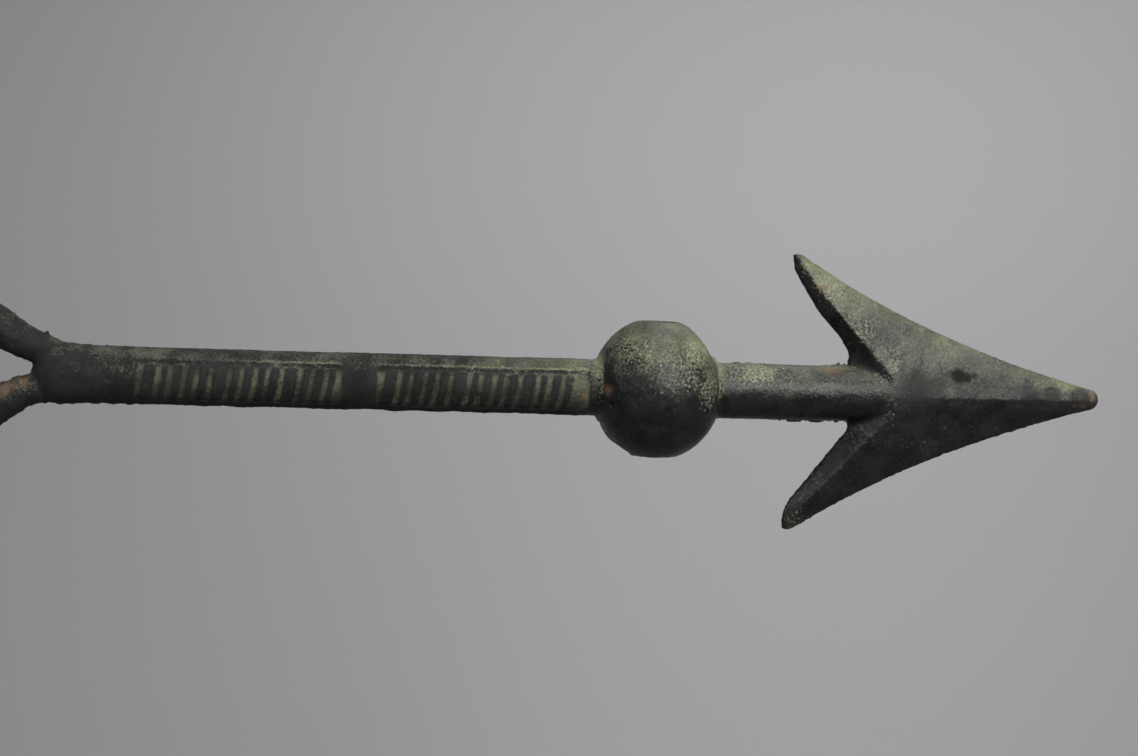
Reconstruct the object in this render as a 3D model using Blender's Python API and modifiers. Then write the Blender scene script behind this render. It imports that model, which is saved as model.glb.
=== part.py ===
"""Lightning rod weathervane: one solid bronze casting of a barbed arrow, with a ball hub and an open kite tail.

The arrow points along +X. Its blades and its tail lie in the XZ plane, and +Z is up.
The origin is the centre of the ball hub, which the spindle of the lightning rod passes through along Z.
The inscription faces -Y. All lengths are in metres.
"""

import itertools
import math

import bmesh
import bpy
from mathutils import Matrix

MM = 0.001

# Shaft, along X through the hub
SHAFT_DIAMETER = 14.0 * MM
SHAFT_SIDES = 48

# Ball hub: an egg a little shorter along the shaft than across it, with a flat above and below
HUB_LENGTH = 33.0 * MM
HUB_DIAMETER = 35.6 * MM
HUB_HEIGHT = 33.8 * MM
HUB_SIDES = 48
HUB_ARC_STEPS = 20

# Spindle bore, vertical, through both flats
SPINDLE_DIAMETER = 7.9 * MM
SPINDLE_CLEARANCE = 0.2 * MM
BORE_SIDES = 32

# Arrowhead: two swept blades that share a ridge along the shaft's line
HUB_TO_TIP = 114.6 * MM
HEAD_LENGTH = 81.2 * MM
HEAD_WIDTH = 69.6 * MM
HEAD_PROUD = 0.15 * MM
BARB_CHORD = 2.4 * MM
BARB_THICKNESS = 2.8 * MM
REAR_EDGE_THICKNESS = 1.0 * MM
LEADING_EDGE_THICKNESS = 1.8 * MM
NOSE_DIAMETER = 5.4 * MM
NOSE_THICKNESS = 4.8 * MM
NOSE_LENGTH = 2.6 * MM
LEADING_STEPS = 20
NOSE_STEPS = 4
# Outline of the blades, as shares of the head's length from the barbs and of its half width from
# the axis: the pull point of the curved leading edge, both rear edges and the ridge ahead of them
LEADING_PULL = (0.41, 0.417)
UPPER_REAR_EDGE = ((0.188, 0.0), (0.188, 0.30), (0.164, 0.40), (0.088, 0.59), (0.011, 0.87), (0.0, 1.0))
LOWER_REAR_EDGE = ((0.195, 0.0), (0.195, 0.25), (0.147, 0.40), (0.012, 0.81), (0.0, 0.88), (0.0, 1.0))
RIDGE = ((0.322, 0.0), (0.316, 0.12), (0.072, 0.78), (0.012, 1.0))

# Fork and open kite tail, one bar from the shaft round to the shaft again
HUB_TO_FORK = 153.2 * MM
FORK_DOME_LENGTH = 9.0 * MM
TAIL_LENGTH = 150.0 * MM
TAIL_FRONT_WIDTH = 60.0 * MM
TAIL_REAR_WIDTH = 73.0 * MM
TAIL_RISE = 1.4 * MM
BAR_WIDTH = 8.4 * MM
BAR_DEPTH = 9.4 * MM
BAR_SIDES = 16
ARM_ANGLE = math.radians(34.0)
ARM_ROOT_WIDTH = 6.6 * MM
ARM_ROOT_GAP = 0.4 * MM
ARM_ROOT_LENGTH = 18.0 * MM
ARM_BEND_AHEAD = 0.3 * MM
ARM_BEND_RADIUS = 25.0 * MM
ARM_SWELL_LENGTH = 10.0 * MM
FRONT_CORNER_RADIUS = 14.0 * MM
REAR_CORNER_RADIUS = 9.0 * MM
BEND_STEP = math.radians(7.5)

# Inscription: two sunk fields round the front of the shaft, each with a row of plain raised strokes
HUB_TO_NEAR_FIELD = 17.4 * MM
NEAR_FIELD_LENGTH = 52.6 * MM
FIELD_GAP = 8.4 * MM
FAR_FIELD_LENGTH = 49.8 * MM
FIELD_DEPTH = 0.5 * MM
FIELD_LOW_ANGLE = math.radians(-53.0)
FIELD_HIGH_ANGLE = math.radians(37.0)
STROKE_PROUD = 0.12 * MM
BROAD_STROKE_WIDTH = 2.8 * MM
STROKE_WIDTH = 1.8 * MM
THIN_STROKE_WIDTH = 1.3 * MM
STROKE_GAP = 1.6 * MM
STROKE_LEAN = 1.3 * MM
STROKE_END_MARGIN = 1.0 * MM
STROKE_LOW_ANGLE = math.radians(-46.0)
STROKE_HIGH_ANGLE = math.radians(28.0)
WRAP_STEP = math.radians(14.0)

BRONZE = (0.055, 0.062, 0.050, 1.0)
BRONZE_ROUGHNESS = 0.55
BRONZE_METALLIC = 0.6
CREASE_ANGLE = math.radians(30.0)

SHAFT_RADIUS = SHAFT_DIAMETER / 2
BORE_RADIUS = SPINDLE_DIAMETER / 2 + SPINDLE_CLEARANCE
ARM_ROOT_HEIGHT = (ARM_ROOT_WIDTH + ARM_ROOT_GAP) / 2
HEAD_HALF_WIDTH = HEAD_WIDTH / 2
BARB_X = HUB_TO_TIP - HEAD_LENGTH
FORK_X = -HUB_TO_FORK
REAR_BAR_X = FORK_X - TAIL_LENGTH + BAR_WIDTH / 2
NEAR_FIELD = (-HUB_TO_NEAR_FIELD - NEAR_FIELD_LENGTH, -HUB_TO_NEAR_FIELD)
FAR_FIELD = (NEAR_FIELD[0] - FIELD_GAP - FAR_FIELD_LENGTH, NEAR_FIELD[0] - FIELD_GAP)
CUT_OVERRUN = 2.0 * MM
WELD_DISTANCE = 0.01 * MM


def lerp(low, high, share):
    return low + (high - low) * share


def ease(share):
    share = min(max(share, 0.0), 1.0)
    return share * share * (3 - 2 * share)


def across(points, height):
    """The length share of an outline of (length share, height share) points at one height share."""
    for (low, base), (high, top) in zip(points, points[1:]):
        if height <= top:
            return lerp(low, high, (height - base) / (top - base))
    return points[-1][0]


def clear_scene():
    for old in list(bpy.data.objects):
        bpy.data.objects.remove(old, do_unlink=True)


def new_collection(name):
    collection = bpy.data.collections.new(name)
    bpy.context.scene.collection.children.link(collection)
    return collection


def new_object(name, data, collection):
    obj = bpy.data.objects.new(name, data)
    collection.objects.link(obj)
    return obj


def mesh_from(bm, name):
    mesh = bpy.data.meshes.new(name)
    bm.to_mesh(mesh)
    bm.free()
    mesh.shade_smooth()
    mesh.set_sharp_from_angle(angle=CREASE_ANGLE)
    return mesh


def helper(obj):
    """Marks an object that only shapes the casting."""
    obj.hide_render = True
    obj.display_type = "WIRE"
    return obj


def turned(name, profile, sides, collection):
    """A solid turned about local Z from (radius, height) points that run down its outer side."""
    bm = bmesh.new()
    verts = [bm.verts.new((radius, 0.0, height)) for radius, height in profile]
    for upper, lower in zip(verts, verts[1:]):
        bm.edges.new((upper, lower))
    obj = new_object(name, mesh_from(bm, name), collection)
    screw = obj.modifiers.new("turn", "SCREW")
    screw.axis = "Z"
    screw.steps = sides
    screw.render_steps = sides
    screw.use_merge_vertices = True
    screw.merge_threshold = WELD_DISTANCE
    return obj


def add_shaft(collection):
    """The round bar, from a domed end in the fork to a flat end buried under the head's crest."""
    dome_start = HUB_TO_FORK - FORK_DOME_LENGTH
    dome_steps = 8
    buried_end = BARB_X + HEAD_LENGTH * RIDGE[0][0]
    profile = [(0.0, buried_end), (SHAFT_RADIUS, buried_end)]
    for step in range(dome_steps + 1):
        angle = math.pi / 2 * step / dome_steps
        height = -dome_start - FORK_DOME_LENGTH * math.sin(angle)
        profile.append((SHAFT_RADIUS * math.cos(angle), height))
    shaft = turned("vane_casting", profile, SHAFT_SIDES, collection)
    shaft.matrix_world = Matrix.Rotation(math.pi / 2, 4, "Y")
    return shaft


def hub(collection):
    """The ball, turned about the spindle and then shortened along the shaft."""
    radius = HUB_DIAMETER / 2
    flat = math.asin(min(HUB_HEIGHT / HUB_DIAMETER, 1.0))
    profile = [(0.0, HUB_HEIGHT / 2)]
    for step in range(HUB_ARC_STEPS + 1):
        angle = lerp(flat, -flat, step / HUB_ARC_STEPS)
        profile.append((radius * math.cos(angle), radius * math.sin(angle)))
    profile.append((0.0, -HUB_HEIGHT / 2))
    ball = turned("hub_form", profile, HUB_SIDES, collection)
    ball.scale = (HUB_LENGTH / HUB_DIAMETER, 1.0, 1.0)
    return helper(ball)


def leading_edge():
    """Points (x, z) of one blade's front edge, from the barb to the point of the arrow."""
    barb = (BARB_X + BARB_CHORD, HEAD_HALF_WIDTH)
    pull = (BARB_X + HEAD_LENGTH * LEADING_PULL[0], HEAD_HALF_WIDTH * LEADING_PULL[1])
    nose = (HUB_TO_TIP - NOSE_LENGTH, NOSE_DIAMETER / 2)
    points = []
    for step in range(LEADING_STEPS + 1):
        t = step / LEADING_STEPS
        points.append(
            tuple(
                (1 - t) ** 2 * a + 2 * t * (1 - t) * b + t**2 * c
                for a, b, c in zip(barb, pull, nose)
            )
        )
    for step in range(1, NOSE_STEPS + 1):
        angle = math.pi / 2 * step / NOSE_STEPS
        points.append(
            (nose[0] + NOSE_LENGTH * math.sin(angle), nose[1] * math.cos(angle))
        )
    return points


def blade_section(lead_x, z):
    """The outline of the head at one height, as (x, y) points from its rear edge round the front."""
    height = abs(z) / HEAD_HALF_WIDTH
    rear_x = BARB_X + HEAD_LENGTH * across(UPPER_REAR_EDGE if z > 0 else LOWER_REAR_EDGE, height)
    ridge_x = BARB_X + HEAD_LENGTH * across(RIDGE, height)
    half = lerp(SHAFT_RADIUS + HEAD_PROUD, BARB_THICKNESS / 2, height)
    near_nose = max(0.0, 1 - abs(z) / (1.5 * NOSE_DIAMETER))
    edge = lerp(LEADING_EDGE_THICKNESS / 2, NOSE_THICKNESS / 2, near_nose**2)
    rear_edge = min(REAR_EDGE_THICKNESS, BARB_THICKNESS) / 2
    shoulder_x = max(lead_x - 0.8 * edge, lerp(ridge_x, lead_x, 0.5))
    return [
        (rear_x, -rear_edge),
        (ridge_x, -half),
        (shoulder_x, -edge),
        (lead_x, 0.0),
        (shoulder_x, edge),
        (ridge_x, half),
        (rear_x, rear_edge),
    ]


def arrowhead(collection):
    """Both blades, lofted from the lower barb through the point to the upper barb."""
    edge = leading_edge()
    outline = [(x, -z) for x, z in edge[:-1]] + edge[::-1]
    bm = bmesh.new()
    rings = [
        [bm.verts.new((x, y, z)) for x, y in blade_section(lead_x, z)]
        for lead_x, z in outline
    ]
    for ring, following in zip(rings, rings[1:]):
        for i, vert in enumerate(ring):
            j = (i + 1) % len(ring)
            bm.faces.new((vert, ring[j], following[j], following[i]))
    bm.faces.new(rings[0])
    bm.faces.new(rings[-1])
    bmesh.ops.recalc_face_normals(bm, faces=bm.faces)
    return helper(new_object("head_form", mesh_from(bm, "head_form"), collection))


def filleted(corners):
    """Points along a line of (x, z, radius) corners, with an arc at each corner between the ends."""
    points = [corners[0][:2]]
    for before, corner, after in zip(corners, corners[1:], corners[2:]):
        way_in = math.atan2(corner[1] - before[1], corner[0] - before[0])
        way_out = math.atan2(after[1] - corner[1], after[0] - corner[0])
        turn = math.remainder(way_out - way_in, math.tau)
        reach = corner[2] * math.tan(abs(turn) / 2)
        start = (
            corner[0] - reach * math.cos(way_in),
            corner[1] - reach * math.sin(way_in),
        )
        side = way_in + math.copysign(math.pi / 2, turn)
        centre = (
            start[0] + corner[2] * math.cos(side),
            start[1] + corner[2] * math.sin(side),
        )
        steps = max(2, math.ceil(abs(turn) / BEND_STEP))
        for step in range(steps + 1):
            angle = side + math.pi + turn * step / steps
            points.append(
                (
                    centre[0] + corner[2] * math.cos(angle),
                    centre[1] + corner[2] * math.sin(angle),
                )
            )
    points.append(corners[-1][:2])
    return points


def tail_path():
    """The middle line of the tail bar as (x, z): upper arm, rail, rear bar, lower rail, lower arm."""
    bend_x = FORK_X + ARM_BEND_AHEAD
    front_half = TAIL_FRONT_WIDTH / 2
    front_x = bend_x - (front_half - ARM_ROOT_HEIGHT) / math.tan(ARM_ANGLE)
    upper = [
        (bend_x + ARM_ROOT_LENGTH, ARM_ROOT_HEIGHT, 0.0),
        (bend_x, ARM_ROOT_HEIGHT, ARM_BEND_RADIUS),
        (front_x, front_half, FRONT_CORNER_RADIUS),
        (REAR_BAR_X, TAIL_REAR_WIDTH / 2, REAR_CORNER_RADIUS),
    ]
    lower = [(x, -z, radius) for x, z, radius in reversed(upper)]
    rise_start = bend_x + ARM_ROOT_LENGTH / 2
    rise_end = FORK_X - ARM_BEND_AHEAD
    return [
        (x, z + TAIL_RISE * ease((rise_start - x) / (rise_start - rise_end)))
        for x, z in filleted(upper + lower)
    ]


def poly_curve(name, points, cyclic, collection):
    curve = bpy.data.curves.new(name, "CURVE")
    curve.dimensions = "2D"
    curve.fill_mode = "NONE"
    spline = curve.splines.new("POLY")
    spline.points.add(len(points) - 1)
    for point, (x, y) in zip(spline.points, points):
        point.co = (x, y, 0.0, 1.0)
    spline.use_cyclic_u = cyclic
    return new_object(name, curve, collection)


def tail(collection):
    """The fork's arms and the kite frame, one oval bar swept along the tail path."""
    turns = [math.tau * side / BAR_SIDES for side in range(BAR_SIDES)]
    section = [(BAR_WIDTH / 2 * math.cos(turn), BAR_DEPTH / 2 * math.sin(turn)) for turn in turns]
    profile = helper(poly_curve("bar_section", section, True, collection))
    path = poly_curve("tail_path", tail_path(), False, collection)
    path.data.bevel_mode = "OBJECT"
    path.data.bevel_object = profile
    path.data.use_fill_caps = True
    for point in path.data.splines[0].points:
        share = (FORK_X + ARM_BEND_AHEAD - point.co.x) / ARM_SWELL_LENGTH
        point.radius = lerp(ARM_ROOT_WIDTH / BAR_WIDTH, 1.0, ease(share))
    path.matrix_world = Matrix.Rotation(math.pi / 2, 4, "X")
    bpy.context.view_layer.update()
    evaluated = path.evaluated_get(bpy.context.evaluated_depsgraph_get())
    mesh = bpy.data.meshes.new_from_object(evaluated)
    bm = bmesh.new()
    bm.from_mesh(mesh)
    bmesh.ops.remove_doubles(bm, verts=bm.verts, dist=WELD_DISTANCE)
    bmesh.ops.recalc_face_normals(bm, faces=bm.faces)
    bpy.data.meshes.remove(mesh)
    frame = new_object("tail_form", mesh_from(bm, "tail_form"), collection)
    frame.matrix_world = path.matrix_world
    bpy.data.objects.remove(path, do_unlink=True)
    return helper(frame)


def wrapped_block(bm, span, radii, angles, lean=0.0):
    """A block bent round the shaft: span along X at its foot, radii (inner, outer), angles up from
    the -Y side, and how far its top leans along X."""
    low, high = angles
    steps = max(1, math.ceil((high - low) / WRAP_STEP))
    corners = [(span[0], radii[0]), (span[0], radii[1]), (span[1], radii[1]), (span[1], radii[0])]
    face = bm.faces.new(
        [bm.verts.new((x, -r * math.cos(low), r * math.sin(low))) for x, r in corners]
    )
    bmesh.ops.spin(
        bm,
        geom=[face, *face.edges, *face.verts],
        axis=(1.0, 0.0, 0.0),
        dvec=(lean / steps, 0.0, 0.0),
        angle=low - high,
        steps=steps,
    )


def inscription_fields(collection):
    """Cutter for the two sunk fields."""
    bm = bmesh.new()
    radii = (SHAFT_RADIUS - FIELD_DEPTH, SHAFT_RADIUS + CUT_OVERRUN)
    for span in (NEAR_FIELD, FAR_FIELD):
        wrapped_block(bm, span, radii, (FIELD_LOW_ANGLE, FIELD_HIGH_ANGLE))
    bmesh.ops.recalc_face_normals(bm, faces=bm.faces)
    return helper(new_object("field_cutter", mesh_from(bm, "field_cutter"), collection))


def inscription_strokes(collection):
    """Plain parallel strokes in place of lettering, in a repeated run of widths."""
    bm = bmesh.new()
    radii = (SHAFT_RADIUS / 2, SHAFT_RADIUS + STROKE_PROUD)
    run = (BROAD_STROKE_WIDTH, THIN_STROKE_WIDTH, STROKE_WIDTH, THIN_STROKE_WIDTH, STROKE_WIDTH)
    for low, high in (NEAR_FIELD, FAR_FIELD):
        left = low + STROKE_END_MARGIN
        for width in itertools.cycle(run):
            if left + width + STROKE_LEAN > high - STROKE_END_MARGIN:
                break
            foot = (left, left + width)
            wrapped_block(bm, foot, radii, (STROKE_LOW_ANGLE, STROKE_HIGH_ANGLE), STROKE_LEAN)
            left += width + STROKE_GAP
    bmesh.ops.recalc_face_normals(bm, faces=bm.faces)
    return helper(new_object("stroke_form", mesh_from(bm, "stroke_form"), collection))


def spindle_bore(collection):
    length = HUB_HEIGHT + 2 * CUT_OVERRUN
    bm = bmesh.new()
    bmesh.ops.create_cone(
        bm,
        cap_ends=True,
        segments=BORE_SIDES,
        radius1=BORE_RADIUS,
        radius2=BORE_RADIUS,
        depth=length,
    )
    return helper(new_object("bore_cutter", mesh_from(bm, "bore_cutter"), collection))


def bronze():
    material = bpy.data.materials.new("weathered_bronze")
    material.use_nodes = True
    shader = material.node_tree.nodes["Principled BSDF"]
    shader.inputs["Base Color"].default_value = BRONZE
    shader.inputs["Roughness"].default_value = BRONZE_ROUGHNESS
    shader.inputs["Metallic"].default_value = BRONZE_METALLIC
    return material


def combine(obj, operation, other):
    boolean = obj.modifiers.new(other.name, "BOOLEAN")
    boolean.operation = operation
    boolean.solver = "EXACT"
    boolean.object = other


def build():
    clear_scene()
    parts = new_collection("lightning_rod_weathervane")
    forms = new_collection("forms_and_cutters")
    casting = add_shaft(parts)
    combine(casting, "DIFFERENCE", inscription_fields(forms))
    combine(casting, "UNION", inscription_strokes(forms))
    combine(casting, "UNION", hub(forms))
    combine(casting, "UNION", arrowhead(forms))
    combine(casting, "UNION", tail(forms))
    combine(casting, "DIFFERENCE", spindle_bore(forms))
    casting.data.materials.append(bronze())


build()
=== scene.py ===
import math

import bpy
import numpy as np
from mathutils import Matrix, Vector, noise


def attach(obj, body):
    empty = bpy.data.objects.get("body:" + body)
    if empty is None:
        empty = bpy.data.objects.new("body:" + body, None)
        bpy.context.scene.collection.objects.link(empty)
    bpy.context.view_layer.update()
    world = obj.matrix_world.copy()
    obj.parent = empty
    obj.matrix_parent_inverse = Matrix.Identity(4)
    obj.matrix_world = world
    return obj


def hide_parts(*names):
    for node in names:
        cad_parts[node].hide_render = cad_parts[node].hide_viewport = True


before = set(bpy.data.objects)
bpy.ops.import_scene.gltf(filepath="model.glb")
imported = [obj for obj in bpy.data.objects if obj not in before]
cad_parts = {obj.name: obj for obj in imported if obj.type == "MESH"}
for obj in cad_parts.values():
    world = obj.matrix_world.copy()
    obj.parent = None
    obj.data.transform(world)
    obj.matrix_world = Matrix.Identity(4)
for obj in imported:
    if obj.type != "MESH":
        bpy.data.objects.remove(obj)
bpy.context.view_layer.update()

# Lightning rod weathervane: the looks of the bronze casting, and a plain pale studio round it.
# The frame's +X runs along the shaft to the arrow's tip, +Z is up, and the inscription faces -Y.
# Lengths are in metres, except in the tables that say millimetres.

MM = 0.001
NODE = "vane_casting"

# The casting's own landmarks, as the solid has them
SHAFT_RADIUS = 7.0 * MM
BALL_RADIUS = 17.8 * MM
BALL_HALF_LENGTH = 16.5 * MM
BARB_X = 33.4 * MM
FORK_X = -153.2 * MM
FIELDS = ((-128.2 * MM, -78.4 * MM), (-70.0 * MM, -17.4 * MM))
FIELD_FLOOR = SHAFT_RADIUS - 0.5 * MM

# Remeshing
VOXEL = 0.36 * MM
TRIANGLE_LIMIT = 196000

# Where all noise over the mesh starts from
SEED = Vector((3.7, 11.3, 7.9))

# The photograph's view
PHOTO_WIDTH, PHOTO_HEIGHT = 1138, 756
HUB_PIXEL = (656.0, 388.8)
VIEW_AZIMUTH = math.radians(-7.0)
VIEW_ELEVATION = math.radians(4.0)
VIEW_ROLL = math.radians(2.0)
VIEW_DISTANCE = 603.0 * MM
LENS_MM, SENSOR_MM = 50.0, 23.6
NEAREST, FURTHEST = 0.02, 20.0


# Numbers over the mesh


def smoothstep(low, high, value):
    t = np.clip((value - low) / (high - low), 0.0, 1.0)
    return t * t * (3 - 2 * t)


def falling(low, high, value):
    """1 below low, falling smoothly to 0 above high."""
    return 1 - smoothstep(low, high, value)


def within(value, low, high, soft):
    """1 between low and high, falling smoothly to 0 over soft on either side of each."""
    return smoothstep(low - soft, low + soft, value) * falling(high - soft, high + soft, value)


def near(value, centre, reach):
    """1 at centre, falling smoothly to 0 at reach from it."""
    return falling(0.0, reach, np.abs(value - centre))


def distance(points, centre):
    """Millimetres from a centre given in millimetres."""
    return np.linalg.norm(points / MM - np.array(centre), axis=1)


def blob(points, centre, reach):
    """1 at a point, falling smoothly to 0 at reach from it, both given in millimetres."""
    return falling(0.0, reach, distance(points, centre))


def strongest(marks):
    """The strongest of several marks at each point."""
    return np.maximum.reduce(list(marks))


def perlin(points, size, shift=0.0, stretch=(1.0, 1.0, 1.0)):
    """Gradient noise, about -1 to 1, with lumps of the given size."""
    scaled = points * (np.array(stretch) / size) + np.array(SEED) + shift
    return np.fromiter((noise.noise(p) for p in scaled), float, len(points)) * 1.6


def cells(points, size, shift=0.0):
    """Distance to the nearest scattered point, in units of the cell size."""
    scaled = points / size + np.array(SEED) + shift
    return np.fromiter((noise.voronoi(p)[0][0] for p in scaled), float, len(points))


class Surface:
    """The vertices of a mesh, its edges and its normals, as arrays."""

    def __init__(self, mesh):
        self.mesh = mesh
        count = len(mesh.vertices)
        flat = np.empty(count * 3)
        mesh.vertices.foreach_get("co", flat)
        self.points = flat.reshape(count, 3)
        ends = np.empty(len(mesh.edges) * 2, dtype=np.int64)
        mesh.edges.foreach_get("vertices", ends)
        self.ends = ends.reshape(-1, 2)
        self.degree = np.bincount(ends, minlength=count).astype(float)

    def neighbours(self, values):
        """The mean over each vertex's neighbours."""
        a, b = self.ends.T
        total = np.bincount(a, values[b], len(values)) + np.bincount(b, values[a], len(values))
        return total / self.degree

    def smooth(self, weight, reach):
        """Moves each vertex towards its neighbours' mean, by its own weight, to a reach in metres."""
        for _ in range(max(1, round((reach / VOXEL) ** 2))):
            mean = np.stack([self.neighbours(axis) for axis in self.points.T], axis=1)
            self.points += (mean - self.points) * (0.5 * weight)[:, None]

    def blur(self, values, rounds):
        for _ in range(rounds):
            values = 0.5 * (values + self.neighbours(values))
        return values

    def normals(self):
        self.write()
        flat = np.empty(len(self.mesh.vertices) * 3)
        self.mesh.vertex_normals.foreach_get("vector", flat)
        return flat.reshape(-1, 3)

    def push(self, amount):
        """Moves each vertex along its normal."""
        self.points += self.normals() * amount[:, None]

    def write(self):
        self.mesh.vertices.foreach_set("co", self.points.ravel())
        self.mesh.update()

    def attribute(self, name, values):
        layer = self.mesh.attributes.new(name, "FLOAT", "POINT")
        layer.data.foreach_set("value", np.ascontiguousarray(values, dtype=np.float32))


def apply_modifiers(obj):
    evaluated = obj.evaluated_get(bpy.context.evaluated_depsgraph_get())
    mesh = bpy.data.meshes.new_from_object(evaluated)
    obj.modifiers.clear()
    old, obj.data = obj.data, mesh
    bpy.data.meshes.remove(old)


# The casting's form


def remeshed_copy(node):
    """The solid as an even mesh, fine enough to carry the relief."""
    obj = bpy.data.objects.new("vane_surface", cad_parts[node].data.copy())
    bpy.context.scene.collection.objects.link(obj)
    obj.data.materials.clear()
    remesh = obj.modifiers.new("skin", "REMESH")
    remesh.mode = "VOXEL"
    remesh.voxel_size = VOXEL
    apply_modifiers(obj)
    return obj


# How far the whole surface is smoothed, the tail's frame and the barbs
SKIN_ROUNDING = 0.5 * MM
TAIL_ROUNDING = 0.7 * MM
BARB_ROUNDING = 0.8 * MM

# Where the tail's frame fades in along X, and the barbs' tips in height
TAIL_FROM = (-165.0 * MM, -155.0 * MM)
BARB_FROM_HEIGHT = (31.0 * MM, 34.0 * MM)

# Where the ball meets the shaft: along X and away from the shaft's line, with the reach of each
HUB_JOINT_X, HUB_JOINT_X_REACH = 15.0 * MM, 2.5 * MM
HUB_JOINT_RADIUS, HUB_JOINT_RADIUS_REACH = 7.6 * MM, 2.2 * MM
HUB_FILLET = 0.9 * MM

# Where the arms leave the shaft
CROTCH_X, CROTCH_REACH = -149.0 * MM, 11.0 * MM
CROTCH_FILLET = 2.0 * MM

# Fillets where the shaft runs into the head, in millimetres: the middle and the reach along X, the same in
# height, the weight, and how far the surface is smoothed
HEAD_FILLETS = (
    (49.5, 12.0, 8.0, 6.0, 1.0, 2.0),
    (55.0, 6.0, 0.0, 8.0, 1.0, 2.0),
    (62.0, 13.0, 0.0, 10.0, 0.6, 1.4),
)


def blend_junctions(surface):
    """Fillets where the forms meet, as the sand mould leaves them, and a slight rounding elsewhere."""
    x, y, z = surface.points.T
    height = np.abs(z)
    hub = near(np.abs(x), HUB_JOINT_X, HUB_JOINT_X_REACH)
    hub *= near(np.hypot(y, z), HUB_JOINT_RADIUS, HUB_JOINT_RADIUS_REACH)
    zones = [(np.ones(len(x)), SKIN_ROUNDING), (hub, HUB_FILLET)]
    for middle, reach, level, level_reach, weight, fillet in HEAD_FILLETS:
        zone = near(x, middle * MM, reach * MM) * near(height, level * MM, level_reach * MM)
        zones.append((weight * zone, fillet * MM))
    zones.append((near(x, CROTCH_X, CROTCH_REACH), CROTCH_FILLET))
    zones.append((falling(*TAIL_FROM, x), TAIL_ROUNDING))
    zones.append((smoothstep(*BARB_FROM_HEIGHT, height) * smoothstep(0.0, BARB_X, x), BARB_ROUNDING))
    for weight, reach in zones:
        surface.smooth(weight, reach)


# How much thicker the upper and the lower arm are than the solid's, and the stretches of X where that fades
# in from the tail's side and out towards the shaft
UPPER_ARM_EXTRA = 1.9 * MM
LOWER_ARM_EXTRA = 1.3 * MM
THICK_FROM = (-185.0 * MM, -168.0 * MM)
THICK_TO = (-156.0 * MM, -137.0 * MM)
CROTCH_HALF_HEIGHT = 2.0 * MM


def thicken_fork(surface):
    """Spreads the outer sides of the arms where they leave the shaft."""
    x, _, z = surface.points.T
    up = surface.blur(surface.normals()[:, 2], 4)
    reach = smoothstep(*THICK_FROM, x) * falling(*THICK_TO, x)
    outward = np.clip(up * np.sign(z), 0.0, 1.0) * (np.abs(z) > CROTCH_HALF_HEIGHT)
    amount = np.where(z > 0, UPPER_ARM_EXTRA, LOWER_ARM_EXTRA)
    surface.points[:, 2] += np.sign(z) * outward * amount * reach


# Flats left on the ball by rough dressing: direction, and how far each lies below the round
BALL_FLATS = (
    ((0.84, -0.05, 0.54), 1.20 * MM),
    ((0.60, -0.12, 0.79), 0.55 * MM),
    ((0.98, -0.12, 0.14), 1.00 * MM),
    ((-0.32, -0.05, 0.95), 0.42 * MM),
    ((-0.70, -0.10, 0.70), 0.38 * MM),
    ((-0.54, 0.00, -0.84), 0.34 * MM),
    ((-0.90, 0.05, -0.42), 0.50 * MM),
    ((0.30, 0.75, 0.55), 0.40 * MM),
    ((-0.40, 0.85, -0.30), 0.30 * MM),
)
BALL_ROUNDING = 1.1 * MM

# The ball's skin is what lies nearer its middle along X than this, and further out from the shaft's line
BALL_ZONE_HALF_LENGTH = 17.5 * MM
BALL_ZONE_RADIUS = 8.6 * MM


def dress_ball(surface):
    """Turns the true egg into a slightly flattened, lumpy one."""
    points = surface.points
    radius = np.hypot(points[:, 1], points[:, 2])
    on_ball = (np.abs(points[:, 0]) < BALL_ZONE_HALF_LENGTH) & (radius > BALL_ZONE_RADIUS)
    half_axes = (BALL_HALF_LENGTH, BALL_RADIUS, BALL_RADIUS)
    for direction, depth in BALL_FLATS:
        way = Vector(direction).normalized()
        reach = math.sqrt(sum((a * w) ** 2 for a, w in zip(half_axes, way)))
        over = points @ np.array(way) - (reach - depth)
        points -= np.outer(np.where(on_ball, np.maximum(over, 0.0), 0.0), np.array(way))
    surface.smooth(np.where(on_ball, 1.0, 0.0), BALL_ROUNDING)


# The skin's waves and grain: size of the lumps, their height, and a shift that keeps the noises apart
LUMPS = (
    (9.0 * MM, 0.060 * MM, 0.0),
    (3.6 * MM, 0.035 * MM, 5.0),
    (1.4 * MM, 0.040 * MM, 9.0),
    (0.8 * MM, 0.045 * MM, 14.0),
)
PIT_SPACING = 4.6 * MM
PIT_DEPTH = 0.14 * MM
PIT_EDGE = (0.08, 0.24)

# Stretches of the parting line where rough flash is left, in millimetres: from and to along X, up (1) or
# down (-1), how high it stands, and how far from the shaft's line it reaches
FLASH = (
    (17.5, 29.0, 1, 0.40, 9.0),
    (43.5, 49.0, 1, 0.80, 9.0),
    (31.0, 48.0, -1, 0.36, 9.0),
    (33.0, 104.0, -1, 0.16, 40.0),
    (50.0, 104.0, 1, 0.08, 40.0),
    (-128.0, -17.0, -1, 0.14, 9.0),
    (-165.0, -128.0, 1, 0.22, 20.0),
    (-165.0, -128.0, -1, 0.30, 20.0),
)
FLASH_HALF_WIDTH = 1.0 * MM
FLASH_LUMP = 1.3 * MM
FLASH_END = 1.5 * MM

# Slight sags under the inscription: from and to along X, how far round the shaft, their height, and the
# two waves along X that they follow
SAG_FROM = (-125.0 * MM, -110.0 * MM)
SAG_TO = -17.0 * MM
SAG_HALF_WIDTH = 5.0 * MM
SAG_HEIGHT = 0.12 * MM
SAG_WAVE = 2.3 * MM
SAG_SWAY, SAG_SWAY_STRENGTH = 9.0 * MM, 2.0


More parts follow.
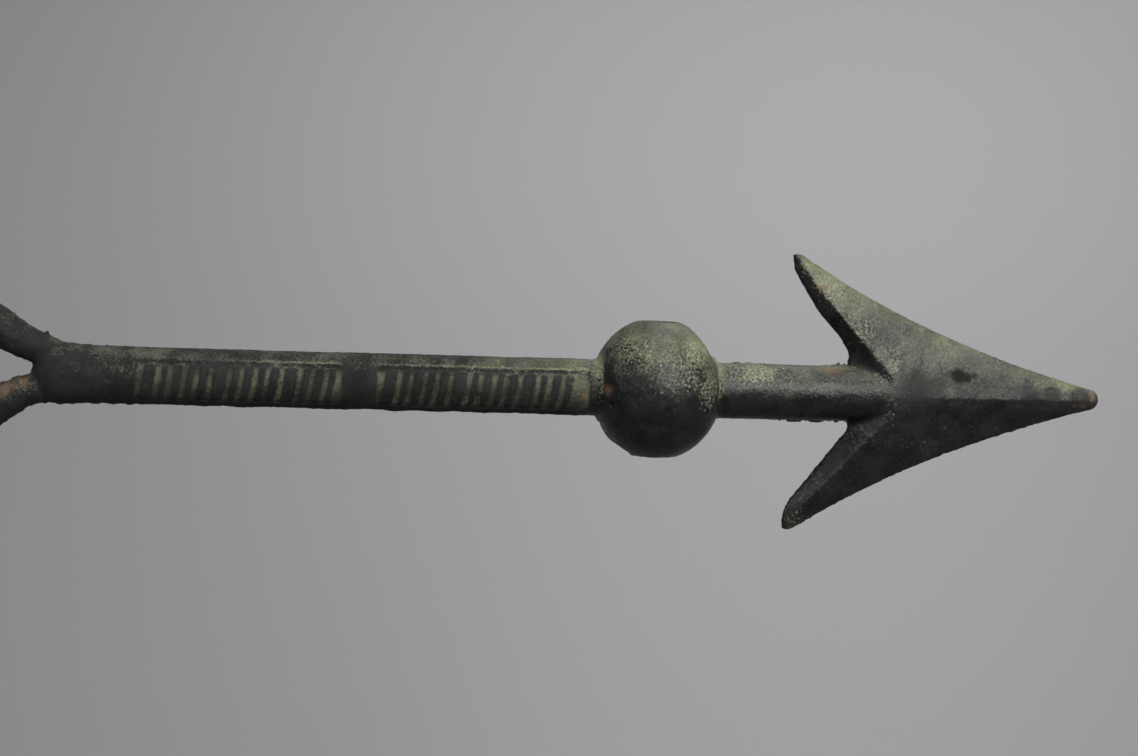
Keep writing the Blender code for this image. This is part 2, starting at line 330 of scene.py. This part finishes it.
def cast_skin(surface):
    """The grain, waves, pits and flash of a rough sand casting."""
    points = surface.points
    x, y, z = points.T
    lumps = sum(perlin(points, size, shift) * height for size, height, shift in LUMPS)
    pits = falling(*PIT_EDGE, cells(points, PIT_SPACING)) * PIT_DEPTH
    flash = np.zeros(len(x))
    for start, end, side, height, reach in FLASH:
        stretch = within(x, start * MM, end * MM, FLASH_END)
        flash += stretch * (z * side > 0) * (np.abs(z) < reach * MM) * height * MM
    flash *= near(y, 0.0, FLASH_HALF_WIDTH) * smoothstep(0.0, 0.7, perlin(points, FLASH_LUMP, 21.0))
    sagging = near(y, 0.0, SAG_HALF_WIDTH) * (z < 0) * smoothstep(*SAG_FROM, x) * (x < SAG_TO)
    sags = sagging * np.sin(x / SAG_WAVE + SAG_SWAY_STRENGTH * np.sin(x / SAG_SWAY)) * SAG_HEIGHT
    surface.push(lumps + sags - pits + flash)


# Single flaws, in millimetres: centre, reach, and height along the surface (negative is a pit)
FLAWS = (
    ((-12.6, -10.9, -3.4), 1.1, -1.3),
    ((-12.2, -11.0, -7.6), 0.6, 0.25),
    ((44.8, 0.0, 8.0), 1.3, 1.1),
    ((46.6, 0.2, 8.2), 1.2, 0.8),
    ((20.5, -0.5, 7.0), 0.9, 0.40),
    ((24.0, -0.3, 7.0), 0.7, 0.35),
    ((27.2, -0.3, 7.0), 0.7, 0.30),
    ((35.8, 0.2, -27.3), 0.9, 0.7),
    ((-149.8, 0.0, 9.6), 0.9, 0.9),
    ((8.0, -1.0, 15.9), 1.1, 0.80),
    ((-6.0, -1.0, -17.0), 1.0, 0.5),
    ((-134.5, -6.6, -0.5), 0.9, -0.5),
    ((57.0, -6.8, -8.0), 0.8, -0.35),
    ((77.2, -4.4, 5.4), 2.4, -0.16),
)


def add_flaws(surface):
    push = np.zeros(len(surface.points))
    for centre, reach, height in FLAWS:
        push += blob(surface.points, centre, reach) * height * MM
    surface.push(push)


# What the patina follows


# Brown stains, in millimetres: centre, reach, and strength from 0 to 1
STAINS = (
    ((113.2, -2.0, 1.0), 3.2, 0.55),
    ((110.0, -2.4, -1.0), 2.2, 0.25),
    ((-18.6, -6.6, -2.0), 1.3, 0.95),
    ((-13.4, -10.0, 0.2), 2.4, 1.00),
    ((44.0, -3.0, 6.6), 4.2, 0.80),
    ((41.0, -2.6, 26.6), 2.6, 0.55),
    ((46.0, -4.5, 7.5), 3.0, 0.45),
    ((-6.4, -9.0, 13.6), 2.4, 0.45),
    ((-155.5, -3.0, -2.2), 4.5, 0.55),
    ((-159.0, -3.0, -4.6), 5.0, 0.50),
    ((-163.0, -3.0, -7.4), 6.0, 0.45),
)

# Patches rubbed bare and dark, and the painted shade in the pit on the ball (the first), in millimetres:
# centre, reach, and strength from 0 to 1
BARE_AND_PIT_SHADE = (
    # Painted shade: the deep pit on the ball, painted black and dull
    ((-12.6, -10.9, -3.4), 1.5, 1.0),
    ((76.6, -4.4, 5.6), 2.3, 1.0),
    ((78.8, -4.2, 5.2), 1.6, 1.0),
    ((80.8, -4.0, 5.7), 1.2, 0.8),
    ((74.6, -4.4, 6.2), 0.9, 0.8),
    ((67.0, -6.0, 1.5), 7.0, 0.35),
    ((96.0, -3.0, -2.5), 5.0, 0.7),
    ((101.0, -3.0, 1.0), 3.0, 0.5),
    ((104.0, -2.0, -2.5), 2.5, 0.7),
    ((109.0, -2.5, 0.5), 3.6, 0.5),
)

# Pale green crust on the front and the back alike, in millimetres: centre along X and up Z, reach along X
# and up Z, and strength from 0 to 1
CRUSTS = (
    ((25.0, 4.5), (15.0, 5.5), 0.50),
    ((2.0, 5.0), (11.0, 10.0), 0.50),
    ((8.0, 10.0), (7.0, 6.0), 0.55),
    ((-7.5, 10.0), (9.0, 7.0), 0.45),
    ((11.5, 0.0), (6.0, 12.0), 0.52),
    ((42.0, 26.0), (10.0, 9.0), 0.50),
    ((50.0, 16.0), (8.0, 8.0), 0.50),
    ((58.5, 7.0), (6.0, 11.0), 0.42),
    ((58.5, -5.0), (4.4, 13.0), 0.38),
    ((37.0, -31.0), (3.5, 5.0), 0.35),
    ((36.0, 31.5), (3.5, 5.0), 0.45),
    ((66.0, -12.0), (10.0, 6.0), 0.40),
    ((104.0, 1.0), (12.0, 6.0), 0.35),
    ((-20.0, 3.0), (7.0, 6.0), 0.40),
)
CRUST_ON_JOINT = 0.80
# Crust along the ledge above the fields, partly a painted highlight where the lip catches the light
CRUST_AND_HIGHLIGHT_ON_LEDGE = 0.48

# How much verdigris each part adds, or takes away; on the barbs' rear bevels it is taken away as painted
# shade
GREEN_ALL_OVER = 0.17
GREEN_FORWARD = 0.10
GREEN_NEAR_BALL = 0.24
GREEN_BLADE = 0.21
GREEN_RIM = 0.28
GREEN_TIP = 0.10
GREEN_LOW_BARB = 0.30
GREEN_BALL_END = 0.18
GREEN_FORK = 0.14
GREEN_STROKES = -0.25
# Green along the ledge above the fields, partly a painted highlight where the lip catches the light
GREEN_AND_HIGHLIGHT_ON_LEDGE = 0.36
GREEN_JOINT = 0.35
# Verdigris taken off the barbs' rear bevels as painted shade: most on the upper barb, whose bevel faces
# down
UPPER_REAR_SHADE = 0.85
LOWER_REAR_SHADE = 0.55

# Patches of more and less verdigris: size of the lumps, a shift that keeps the noises apart, how close the
# lumps lie along each axis, and their share
PATCHES = (
    (11.0 * MM, 31.0, (0.6, 1.0, 1.0), 0.14),
    (3.5 * MM, 37.0, (1.0, 1.0, 1.0), 0.16),
)

# Sizes of the lumps in the fields' green, in the dullness and in the stains
FIELD_PATCH = 6.0 * MM
DULL_PATCH = 8.0 * MM
STAIN_SPECKLE = 1.6 * MM

# The inscription's fields, by the angle round the shaft from the front in degrees: where their floor starts
# and stops, where the green on it does, and the pale line along the ledge above, olive crust with a painted
# highlight
FLOOR_STARTS, FLOOR_STOPS = (-57, -51), (36, 39)
GROWTH_STARTS, GROWTH_STOPS = (-50, -44), (18, 31)
LEDGE_ANGLE, LEDGE_REACH = 41.0, 4.5
LEDGE_RADIUS = (6.6 * MM, 6.8 * MM)
LEDGE_FADES_IN = (-118.0 * MM, -95.0 * MM)
FIELD_END = 0.3 * MM
STROKE_FOOT = (FIELD_FLOOR + 0.12 * MM, FIELD_FLOOR + 0.42 * MM)

# Stretches of the casting that the patina tells apart
BALL_NEIGHBOURHOOD = 70.0 * MM
FORWARD_FROM = (-90.0 * MM, -10.0 * MM)
BARB_MIN_HEIGHT = 12 * MM
BARB_MIN_X = 31 * MM
BLADE_MIN_X = 40 * MM
BLADE_FROM_Z = (2 * MM, 13 * MM)
RIM_HALF_WIDTH = 4.2 * MM
RIM_FROM_Z = (-2 * MM, 4 * MM)
LOW_BARB_FROM = (29 * MM, 35 * MM)
TIP_FROM = (84 * MM, 110 * MM)
REAR_MIN_X = 33.0 * MM
BALL_END_X, BALL_END_REACH, BALL_END_RADIUS = 11.0 * MM, 9.0 * MM, 8.0 * MM
ARMS_MAX_X = FORK_X + 3.0 * MM
FORK_GREEN_X, FORK_GREEN_REACH = -138.0 * MM, 24.0 * MM
JOINT_X, JOINT_X_REACH = 15.2 * MM, 2.2 * MM
JOINT_RADIUS, JOINT_RADIUS_REACH = 8.2 * MM, 2.4 * MM
GLOSSY_FROM = (-26.0 * MM, -15.0 * MM)
HEAD_DULL_FROM = (50.0 * MM, 60.0 * MM)
CUPPED = 0.03 * MM


class Patina:
    """Works out what the patina follows on each part of the surface, with some painted shade and highlight
    among it, and stores it with the mesh.
    """

    def __init__(self, surface):
        self.surface = surface
        self.points = surface.points
        self.x, self.y, self.z = surface.points.T
        self.radius = np.hypot(self.y, self.z)
        self.normals = surface.normals()
        self.up = surface.blur(self.normals[:, 2], 6)
        self.patches = sum(
            perlin(self.points, size, shift, stretch) * share for size, shift, stretch, share in PATCHES
        )
        self.mark_fields()
        self.mark_bare_and_pit_shade()
        self.mark_joint()

    def mark_fields(self):
        """The floor of the sunk fields, the green on it, the strokes, and the pale line along the ledge
        above them: olive crust with a painted highlight along the lip.
        """
        along = strongest(within(self.x, low, high, FIELD_END) for low, high in FIELDS)
        angle = np.degrees(np.arctan2(self.z, -self.y))
        # The ledge above the fields gets a pale line: olive crust and a painted highlight along the lip
        ledge_highlight = along * near(angle, LEDGE_ANGLE, LEDGE_REACH) * smoothstep(*LEDGE_FADES_IN, self.x)
        self.ledge_highlight = ledge_highlight * smoothstep(*LEDGE_RADIUS, self.radius)
        inside = along * smoothstep(*FLOOR_STARTS, angle) * falling(*FLOOR_STOPS, angle)
        sunk = inside * falling(*STROKE_FOOT, self.radius)
        self.strokes = inside * (1 - sunk)
        patchy = 0.35 + 0.65 * smoothstep(-0.5, 0.4, perlin(self.points, FIELD_PATCH, 59.0))
        self.sunk = sunk * smoothstep(*GROWTH_STARTS, angle) * falling(*GROWTH_STOPS, angle) * patchy

    def mark_bare_and_pit_shade(self):
        """The patches rubbed bare, and the painted shade in the pit on the ball."""
        self.bare_and_pit_shade = strongest(
            falling(0.6, 1.0, distance(self.points, centre) / reach) * strength
            for centre, reach, strength in BARE_AND_PIT_SHADE
        )

    def mark_joint(self):
        """The rings where the ball meets the shaft, above all on their upper side."""
        ring = near(np.abs(self.x), JOINT_X, JOINT_X_REACH)
        ring *= near(self.radius, JOINT_RADIUS, JOINT_RADIUS_REACH)
        self.joint = ring * smoothstep(-0.9, 0.2, self.z / self.radius)

    def verdigris_and_painted_light(self):
        x, z, up = self.x, self.z, self.up
        ahead = np.where(np.abs(z) > BARB_MIN_HEIGHT, x > BARB_MIN_X, x > BLADE_MIN_X)
        rim = near(np.abs(self.y), 0.0, RIM_HALF_WIDTH) * smoothstep(*RIM_FROM_Z, z)
        ball_end = near(x, BALL_END_X, BALL_END_REACH) * (self.radius > BALL_END_RADIUS)
        all_over = GREEN_ALL_OVER + GREEN_FORWARD * smoothstep(*FORWARD_FROM, x)
        all_over += GREEN_NEAR_BALL * near(x, 0.0, BALL_NEIGHBOURHOOD)
        green = all_over * smoothstep(-0.1, 0.9, up)
        green += GREEN_BLADE * ahead * smoothstep(*BLADE_FROM_Z, z) + GREEN_RIM * ahead * rim
        green += GREEN_LOW_BARB * ahead * smoothstep(*LOW_BARB_FROM, -z)
        green += GREEN_TIP * smoothstep(*TIP_FROM, x)
        green += GREEN_BALL_END * ball_end * smoothstep(-0.6, 0.2, up)
        green += GREEN_FORK * near(x, FORK_GREEN_X, FORK_GREEN_REACH) * smoothstep(0.55, 0.9, up)
        green += GREEN_STROKES * self.strokes + GREEN_AND_HIGHLIGHT_ON_LEDGE * self.ledge_highlight
        green += self.patches * smoothstep(-0.5, 0.3, up)
        # Painted shade: less verdigris where the barbs face back, more so on the upper barb than the lower
        facing_back = smoothstep(0.2, 0.5, -self.normals[:, 0]) * (x > REAR_MIN_X)
        rear_shade = self.surface.blur(facing_back, 3) * np.where(z > 0, UPPER_REAR_SHADE, LOWER_REAR_SHADE)
        green = green * (1 - self.bare_and_pit_shade) * (1 - rear_shade) + GREEN_JOINT * self.joint
        return np.clip(green, 0.0, 1.0)

    def crust_and_ledge_highlight(self):
        x, z = self.x / MM, self.z / MM
        crust_and_ledge_highlight = strongest(
            strength * falling(0.2, 1.1, np.hypot((x - centre[0]) / reach[0], (z - centre[1]) / reach[1]))
            for centre, reach, strength in CRUSTS
        )
        crust_and_ledge_highlight = np.maximum(crust_and_ledge_highlight * smoothstep(-0.9, 0.0, self.up), CRUST_ON_JOINT * self.joint)
        # Pale crust along the ledge, which also paints the highlight on its lip
        highlight_on_ledge = CRUST_AND_HIGHLIGHT_ON_LEDGE * self.ledge_highlight * smoothstep(-0.7, 0.2, self.patches)
        return np.maximum(crust_and_ledge_highlight, highlight_on_ledge) * (1 - self.bare_and_pit_shade)

    def dull(self):
        """The shaft's tail end is dull, the hub glossy, and the head between the two."""
        dull = 1.0 - 0.95 * smoothstep(*GLOSSY_FROM, self.x) + 0.25 * smoothstep(*HEAD_DULL_FROM, self.x)
        return dull + 0.20 * perlin(self.points, DULL_PATCH, 53.0)

    def hollow(self):
        """Above 0 in dips and below 0 on bumps."""
        mean = np.stack([self.surface.neighbours(axis) for axis in self.points.T], axis=1)
        hollow = np.einsum("ij,ij->i", mean - self.points, self.normals)
        return self.surface.blur(np.clip(hollow / CUPPED, -1.0, 1.0), 1)

    def stain_and_arm_light(self):
        """Brown stains, broken up; on the arms they are kept only where the arms face up, painted light on
        their upper sides and painted shade below.
        """
        stain_and_arm_light = strongest(blob(self.points, centre, reach) * strength for centre, reach, strength in STAINS)
        stain_and_arm_light *= smoothstep(-0.6, 0.3, perlin(self.points, STAIN_SPECKLE, 43.0) + stain_and_arm_light - 0.2)
        # Painted light and shade: on the arms the stain lies only on the upward faces
        return stain_and_arm_light * np.where(self.x < ARMS_MAX_X, smoothstep(0.0, 0.5, self.up), 1.0)

    def store(self):
        self.surface.attribute("verdigris_and_painted_light", self.verdigris_and_painted_light())
        self.surface.attribute("crust_and_ledge_highlight", self.crust_and_ledge_highlight())
        self.surface.attribute("bare_and_pit_shade", self.bare_and_pit_shade)
        self.surface.attribute("dull", self.dull())
        self.surface.attribute("sunk", np.clip(self.sunk, 0.0, 1.0))
        self.surface.attribute("hollow", self.hollow())
        self.surface.attribute("stain_and_arm_light", self.stain_and_arm_light())


def casting():
    obj = remeshed_copy(NODE)
    surface = Surface(obj.data)
    thicken_fork(surface)
    blend_junctions(surface)
    dress_ball(surface)
    cast_skin(surface)
    add_flaws(surface)
    Patina(surface).store()
    surface.write()
    triangles = sum(len(p.vertices) - 2 for p in obj.data.polygons)
    if triangles > TRIANGLE_LIMIT:
        decimate = obj.modifiers.new("thin", "DECIMATE")
        decimate.ratio = TRIANGLE_LIMIT / triangles
        apply_modifiers(obj)
    obj.data.shade_smooth()
    return obj


# Material


class Nodes:
    """Short calls for building a node tree."""

    def __init__(self, material):
        material.use_nodes = True
        self.tree = material.node_tree
        self.shader = self.tree.nodes["Principled BSDF"]

    def add(self, kind, **values):
        node = self.tree.nodes.new(kind)
        for name, value in values.items():
            setattr(node, name, value)
        return node

    def link(self, source, target):
        """Links a socket to a socket, or sets the socket to a plain value."""
        if isinstance(source, bpy.types.NodeSocket):
            self.tree.links.new(source, target)
        else:
            target.default_value = source

    def value(self, operation, a, b=0.0, clamp=False):
        node = self.add("ShaderNodeMath", operation=operation, use_clamp=clamp)
        self.link(a, node.inputs[0])
        self.link(b, node.inputs[1])
        return node.outputs[0]

    def plus(self, a, b, clamp=False):
        return self.value("ADD", a, b, clamp)

    def minus(self, a, b, clamp=False):
        return self.value("SUBTRACT", a, b, clamp)

    def times(self, a, b):
        return self.value("MULTIPLY", a, b)

    def attribute(self, name):
        return self.add("ShaderNodeAttribute", attribute_name=name).outputs["Fac"]

    def noise(self, size, detail=3.0, roughness=0.55):
        """Noise with lumps of the given size in metres."""
        node = self.add("ShaderNodeTexNoise")
        self.link(self.add("ShaderNodeTexCoord").outputs["Object"], node.inputs["Vector"])
        node.inputs["Scale"].default_value = 1.0 / size
        node.inputs["Detail"].default_value = detail
        node.inputs["Roughness"].default_value = roughness
        return node.outputs["Fac"]

    def ramp(self, value, low, high):
        """0 below low and 1 above high."""
        node = self.add("ShaderNodeMapRange", interpolation_type="SMOOTHSTEP")
        self.link(value, node.inputs["Value"])
        node.inputs["From Min"].default_value = low
        node.inputs["From Max"].default_value = high
        return node.outputs[0]

    def mix(self, share, a, b):
        """From colour a to colour b by share."""
        node = self.add("ShaderNodeMix", data_type="RGBA")
        self.link(share, node.inputs[0])
        for socket, colour in ((node.inputs[6], a), (node.inputs[7], b)):
            self.link(colour if not isinstance(colour, tuple) else (*colour, 1.0), socket)
        return node.outputs[2]


PATINA_BLACK = (0.0044, 0.0042, 0.0045)
PATINA_GREY = (0.0112, 0.0108, 0.0116)
FILM = (0.050, 0.052, 0.040)
VERDIGRIS = (0.145, 0.166, 0.092)
VERDIGRIS_PALE = (0.330, 0.350, 0.240)
RECESS_OLIVE = (0.084, 0.087, 0.052)
RECESS_GREEN = (0.078, 0.097, 0.064)
RUST = (0.160, 0.090, 0.045)

# Sizes of the lumps in the patina
CLOUD = 5.0 * MM
SPECKLE = 0.65 * MM
FINE_SPECKLE = 0.35 * MM
VEIN = 0.95 * MM
RECESS_PATCH = 7.0 * MM

# Where each layer sets in and where it is full
CLOUD_RANGE = (0.35, 0.65)
FILM_RANGE = (0.08, 0.42)
GREEN_RANGE = (0.40, 0.95)
PALE_RANGE = (0.15, 0.75)
CRUST_RANGE = (0.05, 0.35)
GROWTH_RANGE = (0.55, 1.05)
RECESS_RANGE = (0.40, 0.60)
ROUGH_GREEN_RANGE = (0.20, 1.00)

# The middle value of a noise, and how strongly noise shows as flecks and as veins
NOISE_MIDDLE = 0.5
FLECK_STRENGTH = 1.6
VEIN_SHARPNESS = 9.0

# How much of the colour below each layer hides at most
GREEN_COVER = 0.75
PALE_COVER = 0.65
RECESS_COVER = 0.85
BARE_AND_PIT_SHADE_COVER = 0.80
RUST_COVER = 0.75

# Roughness of the black patina, and what green, dullness, bare patches with the painted pit shade, and fine
# speckle add
BASE_ROUGHNESS = 0.29
ROUGH_GREEN = 0.12
ROUGH_DULL = 0.50
ROUGH_BARE_AND_PIT_SHADE = 0.35
ROUGH_SPECKLE = 0.30
SPECULAR_LEVEL = 0.28
BUMP_HEIGHT = 0.13 * MM


def bronze_material():
    """Near-black patina under a thin olive film, with speckled verdigris crust and rust stains, and painted
    shade and highlight in a few places.
    """
    material = bpy.data.materials.new("weathered_bronze")
    n = Nodes(material)
    verdigris_and_painted_light, crusted_and_highlit = n.attribute("verdigris_and_painted_light"), n.attribute("crust_and_ledge_highlight")
    sunk, hollow, stain_and_arm_light = n.attribute("sunk"), n.attribute("hollow"), n.attribute("stain_and_arm_light")
    dull, bare_and_pit_shade = n.attribute("dull"), n.attribute("bare_and_pit_shade")
    cloud = n.noise(CLOUD, 4.0)
    speckle = n.noise(SPECKLE, 3.0, 0.65)
    fine = n.noise(FINE_SPECKLE, 2.0, 0.6)
    worm = n.noise(VEIN, 2.0, 0.5)
    off_vein = n.value("ABSOLUTE", n.minus(worm, NOISE_MIDDLE))
    veins = n.minus(1.0, n.times(off_vein, VEIN_SHARPNESS), clamp=True)
    flecks = n.times(n.minus(speckle, NOISE_MIDDLE), FLECK_STRENGTH)

    # The film and the verdigris lie where the mesh says, broken up by the flecks
    colour = n.mix(n.ramp(cloud, *CLOUD_RANGE), PATINA_BLACK, PATINA_GREY)
    film = n.plus(verdigris_and_painted_light, n.times(flecks, 0.8))
    colour = n.mix(n.ramp(film, *FILM_RANGE), colour, FILM)
    green = n.plus(n.plus(verdigris_and_painted_light, flecks), n.times(crusted_and_highlit, 0.5))
    green = n.plus(green, n.times(hollow, 0.12))
    colour = n.mix(n.times(n.ramp(green, *GREEN_RANGE), GREEN_COVER), colour, VERDIGRIS)

    # The pale crust grows in veins and flecks; along the ledge above the fields it is also a painted
    # highlight
    marks = n.plus(n.times(veins, 0.5), flecks)
    marks = n.plus(marks, n.times(n.minus(crusted_and_highlit, 0.5), 1.4))
    pale = n.times(n.ramp(marks, *PALE_RANGE), n.ramp(crusted_and_highlit, *CRUST_RANGE))
    colour = n.mix(n.times(pale, PALE_COVER), colour, VERDIGRIS_PALE)

    # The floor of the inscription's fields, the bare patches with the painted shade in the pit, and the
    # stains come over the rest
    grown = n.ramp(n.plus(speckle, n.times(cloud, 0.8)), *GROWTH_RANGE)
    recess = n.mix(n.ramp(n.noise(RECESS_PATCH, 2.0), *RECESS_RANGE), RECESS_OLIVE, RECESS_GREEN)
    colour = n.mix(n.times(n.times(sunk, grown), RECESS_COVER), colour, recess)
    # Black over the bare patches, and painted shade in the pit
    colour = n.mix(n.times(bare_and_pit_shade, BARE_AND_PIT_SHADE_COVER), colour, PATINA_BLACK)
    # Rust stains, with painted light on the arms' upper sides
    colour = n.mix(n.times(stain_and_arm_light, RUST_COVER), colour, RUST)
    n.link(colour, n.shader.inputs["Base Color"])

    rough = n.plus(BASE_ROUGHNESS, n.times(n.ramp(green, *ROUGH_GREEN_RANGE), ROUGH_GREEN))
    rough = n.plus(rough, n.times(dull, ROUGH_DULL))
    rough = n.plus(rough, n.times(bare_and_pit_shade, ROUGH_BARE_AND_PIT_SHADE))
    rough = n.plus(rough, n.times(n.minus(fine, NOISE_MIDDLE), ROUGH_SPECKLE), clamp=True)
    n.link(rough, n.shader.inputs["Roughness"])
    n.shader.inputs["Metallic"].default_value = 0.0
    n.shader.inputs["Specular IOR Level"].default_value = SPECULAR_LEVEL

    bump = n.add("ShaderNodeBump")
    bump.inputs["Strength"].default_value = 1.0
    bump.inputs["Distance"].default_value = BUMP_HEIGHT
    height = n.plus(speckle, n.times(fine, 0.7))
    height = n.plus(height, n.times(pale, 0.4))
    n.link(height, bump.inputs["Height"])
    n.link(bump.outputs[0], n.shader.inputs["Normal"])
    return material


# Studio


FLOOR_Z = -0.80
WALL_RADIUS = 2.3
WALL_TOP = 2.0
BEND_RADIUS = 0.7
BEND_STEPS = 14
ROUND_STEPS = 96
STUDIO_GREY = (0.25, 0.247, 0.254)


def studio_material():
    material = bpy.data.materials.new("studio_grey")
    n = Nodes(material)
    n.shader.inputs["Base Color"].default_value = (*STUDIO_GREY, 1.0)
    n.shader.inputs["Roughness"].default_value = 0.9
    n.shader.inputs["Specular IOR Level"].default_value = 0.1
    return material


def backdrop():
    """A round pale floor that sweeps up into a wall all round."""
    flat_radius = WALL_RADIUS - BEND_RADIUS
    profile = [(0.0, FLOOR_Z), (flat_radius, FLOOR_Z)]
    for step in range(1, BEND_STEPS + 1):
        turn = math.pi / 2 * step / BEND_STEPS
        rise = BEND_RADIUS * (1 - math.cos(turn))
        profile.append((flat_radius + BEND_RADIUS * math.sin(turn), FLOOR_Z + rise))
    profile.append((WALL_RADIUS, WALL_TOP))
    mesh = bpy.data.meshes.new("studio_floor")
    verts = [(radius, 0.0, z) for radius, z in profile]
    mesh.from_pydata(verts, [(i, i + 1) for i in range(len(verts) - 1)], [])
    obj = bpy.data.objects.new("studio_floor", mesh)
    bpy.context.scene.collection.objects.link(obj)
    screw = obj.modifiers.new("turn", "SCREW")
    screw.axis = "Z"
    screw.steps = screw.render_steps = ROUND_STEPS
    screw.use_merge_vertices = True
    obj.data.materials.append(studio_material())


WARM = (1.0, 0.985, 0.93)
WHITE = (1.0, 1.0, 1.0)

# Soft lights: name, place, what each points at, width and height, watts, spread in degrees, and colour
SOFT_LIGHTS = (
    ("front_softbox", (0.44, -1.10, 0.60), (0.09, 0.0, 0.04), (0.76, 0.52), 3.0, 60, WARM),
    ("overhead", (0.08, -0.65, 1.05), (0.03, 0.0, 0.0), (0.9, 0.5), 0.36, 60, WARM),
    ("side_fill", (-0.75, -0.60, 0.40), (0.0, 0.0, 0.0), (0.6, 0.6), 0.36, 60, WHITE),
    ("rear_softbox", (0.35, 0.80, 0.95), (0.0, 0.0, 0.0), (0.7, 0.5), 0.28, 60, WHITE),
    ("backdrop_light", (0.38, 1.22, 0.22), (0.28, 2.25, -0.04), (0.5, 0.5), 16.0, 180, WHITE),
)

# The lights for the walls that the photograph doesn't show
WALL_LIGHT_TURNS = (180, 270, 360)
WALL_LIGHT_RADIUS = 0.3
WALL_LIGHT_Z = 1.3
WALL_LIGHT_TARGET_Z = 0.1
WALL_LIGHT_SIZE = (0.9, 0.4)
WALL_LIGHT_WATTS = 26.0
WALL_LIGHT_SPREAD = 150

WORLD_GREY = (0.55, 0.55, 0.57)
WORLD_STRENGTH = 0.1


def area_light(name, place, target, size, power, spread, colour):
    light = bpy.data.lights.new(name, "AREA")
    light.shape = "RECTANGLE"
    light.size, light.size_y = size
    light.energy = power
    light.color = colour
    light.spread = math.radians(spread)
    obj = bpy.data.objects.new(name, light)
    obj.location = place
    obj.rotation_euler = (Vector(target) - Vector(place)).to_track_quat("-Z", "Y").to_euler()
    obj.visible_camera = False
    bpy.context.scene.collection.objects.link(obj)


def lights():
    for light in SOFT_LIGHTS:
        area_light(*light)
    for number, turn in enumerate(WALL_LIGHT_TURNS, 1):
        x, y = math.cos(math.radians(turn)), math.sin(math.radians(turn))
        place = (WALL_LIGHT_RADIUS * x, WALL_LIGHT_RADIUS * y, WALL_LIGHT_Z)
        target = (WALL_RADIUS * x, WALL_RADIUS * y, WALL_LIGHT_TARGET_Z)
        look = (WALL_LIGHT_SIZE, WALL_LIGHT_WATTS, WALL_LIGHT_SPREAD, WHITE)
        area_light("wall_light_%d" % number, place, target, *look)
    world = bpy.data.worlds.new("studio")
    world.use_nodes = True
    background = world.node_tree.nodes["Background"]
    background.inputs["Color"].default_value = (*WORLD_GREY, 1.0)
    background.inputs["Strength"].default_value = WORLD_STRENGTH
    bpy.context.scene.world = world


def camera():
    """The photograph's camera, placed so that the ball's centre falls on its pixel."""
    back = Vector(
        (
            math.sin(VIEW_AZIMUTH) * math.cos(VIEW_ELEVATION),
            -math.cos(VIEW_AZIMUTH) * math.cos(VIEW_ELEVATION),
            math.sin(VIEW_ELEVATION),
        )
    )
    level = Vector((0.0, 0.0, 1.0)).cross(back).normalized()
    upright = back.cross(level)
    right = level * math.cos(VIEW_ROLL) + upright * math.sin(VIEW_ROLL)
    up = upright * math.cos(VIEW_ROLL) - level * math.sin(VIEW_ROLL)
    per_pixel = VIEW_DISTANCE * SENSOR_MM / (LENS_MM * PHOTO_WIDTH)
    across = (HUB_PIXEL[0] - PHOTO_WIDTH / 2) * per_pixel
    down = (HUB_PIXEL[1] - PHOTO_HEIGHT / 2) * per_pixel
    eye = back * VIEW_DISTANCE - right * across + up * down
    data = bpy.data.cameras.new("photo_camera")
    data.lens, data.sensor_width = LENS_MM, SENSOR_MM
    data.clip_start, data.clip_end = NEAREST, FURTHEST
    obj = bpy.data.objects.new("photo_camera", data)
    axes = Matrix((right, up, back)).transposed().to_4x4()
    obj.matrix_world = Matrix.Translation(eye) @ axes
    bpy.context.scene.collection.objects.link(obj)
    bpy.context.scene.camera = obj


# Scene

camera()
vane = casting()
vane.data.materials.append(bronze_material())
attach(vane, "root")
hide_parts(NODE)
backdrop()
lights()
bpy.context.scene.view_settings.view_transform = "Standard"
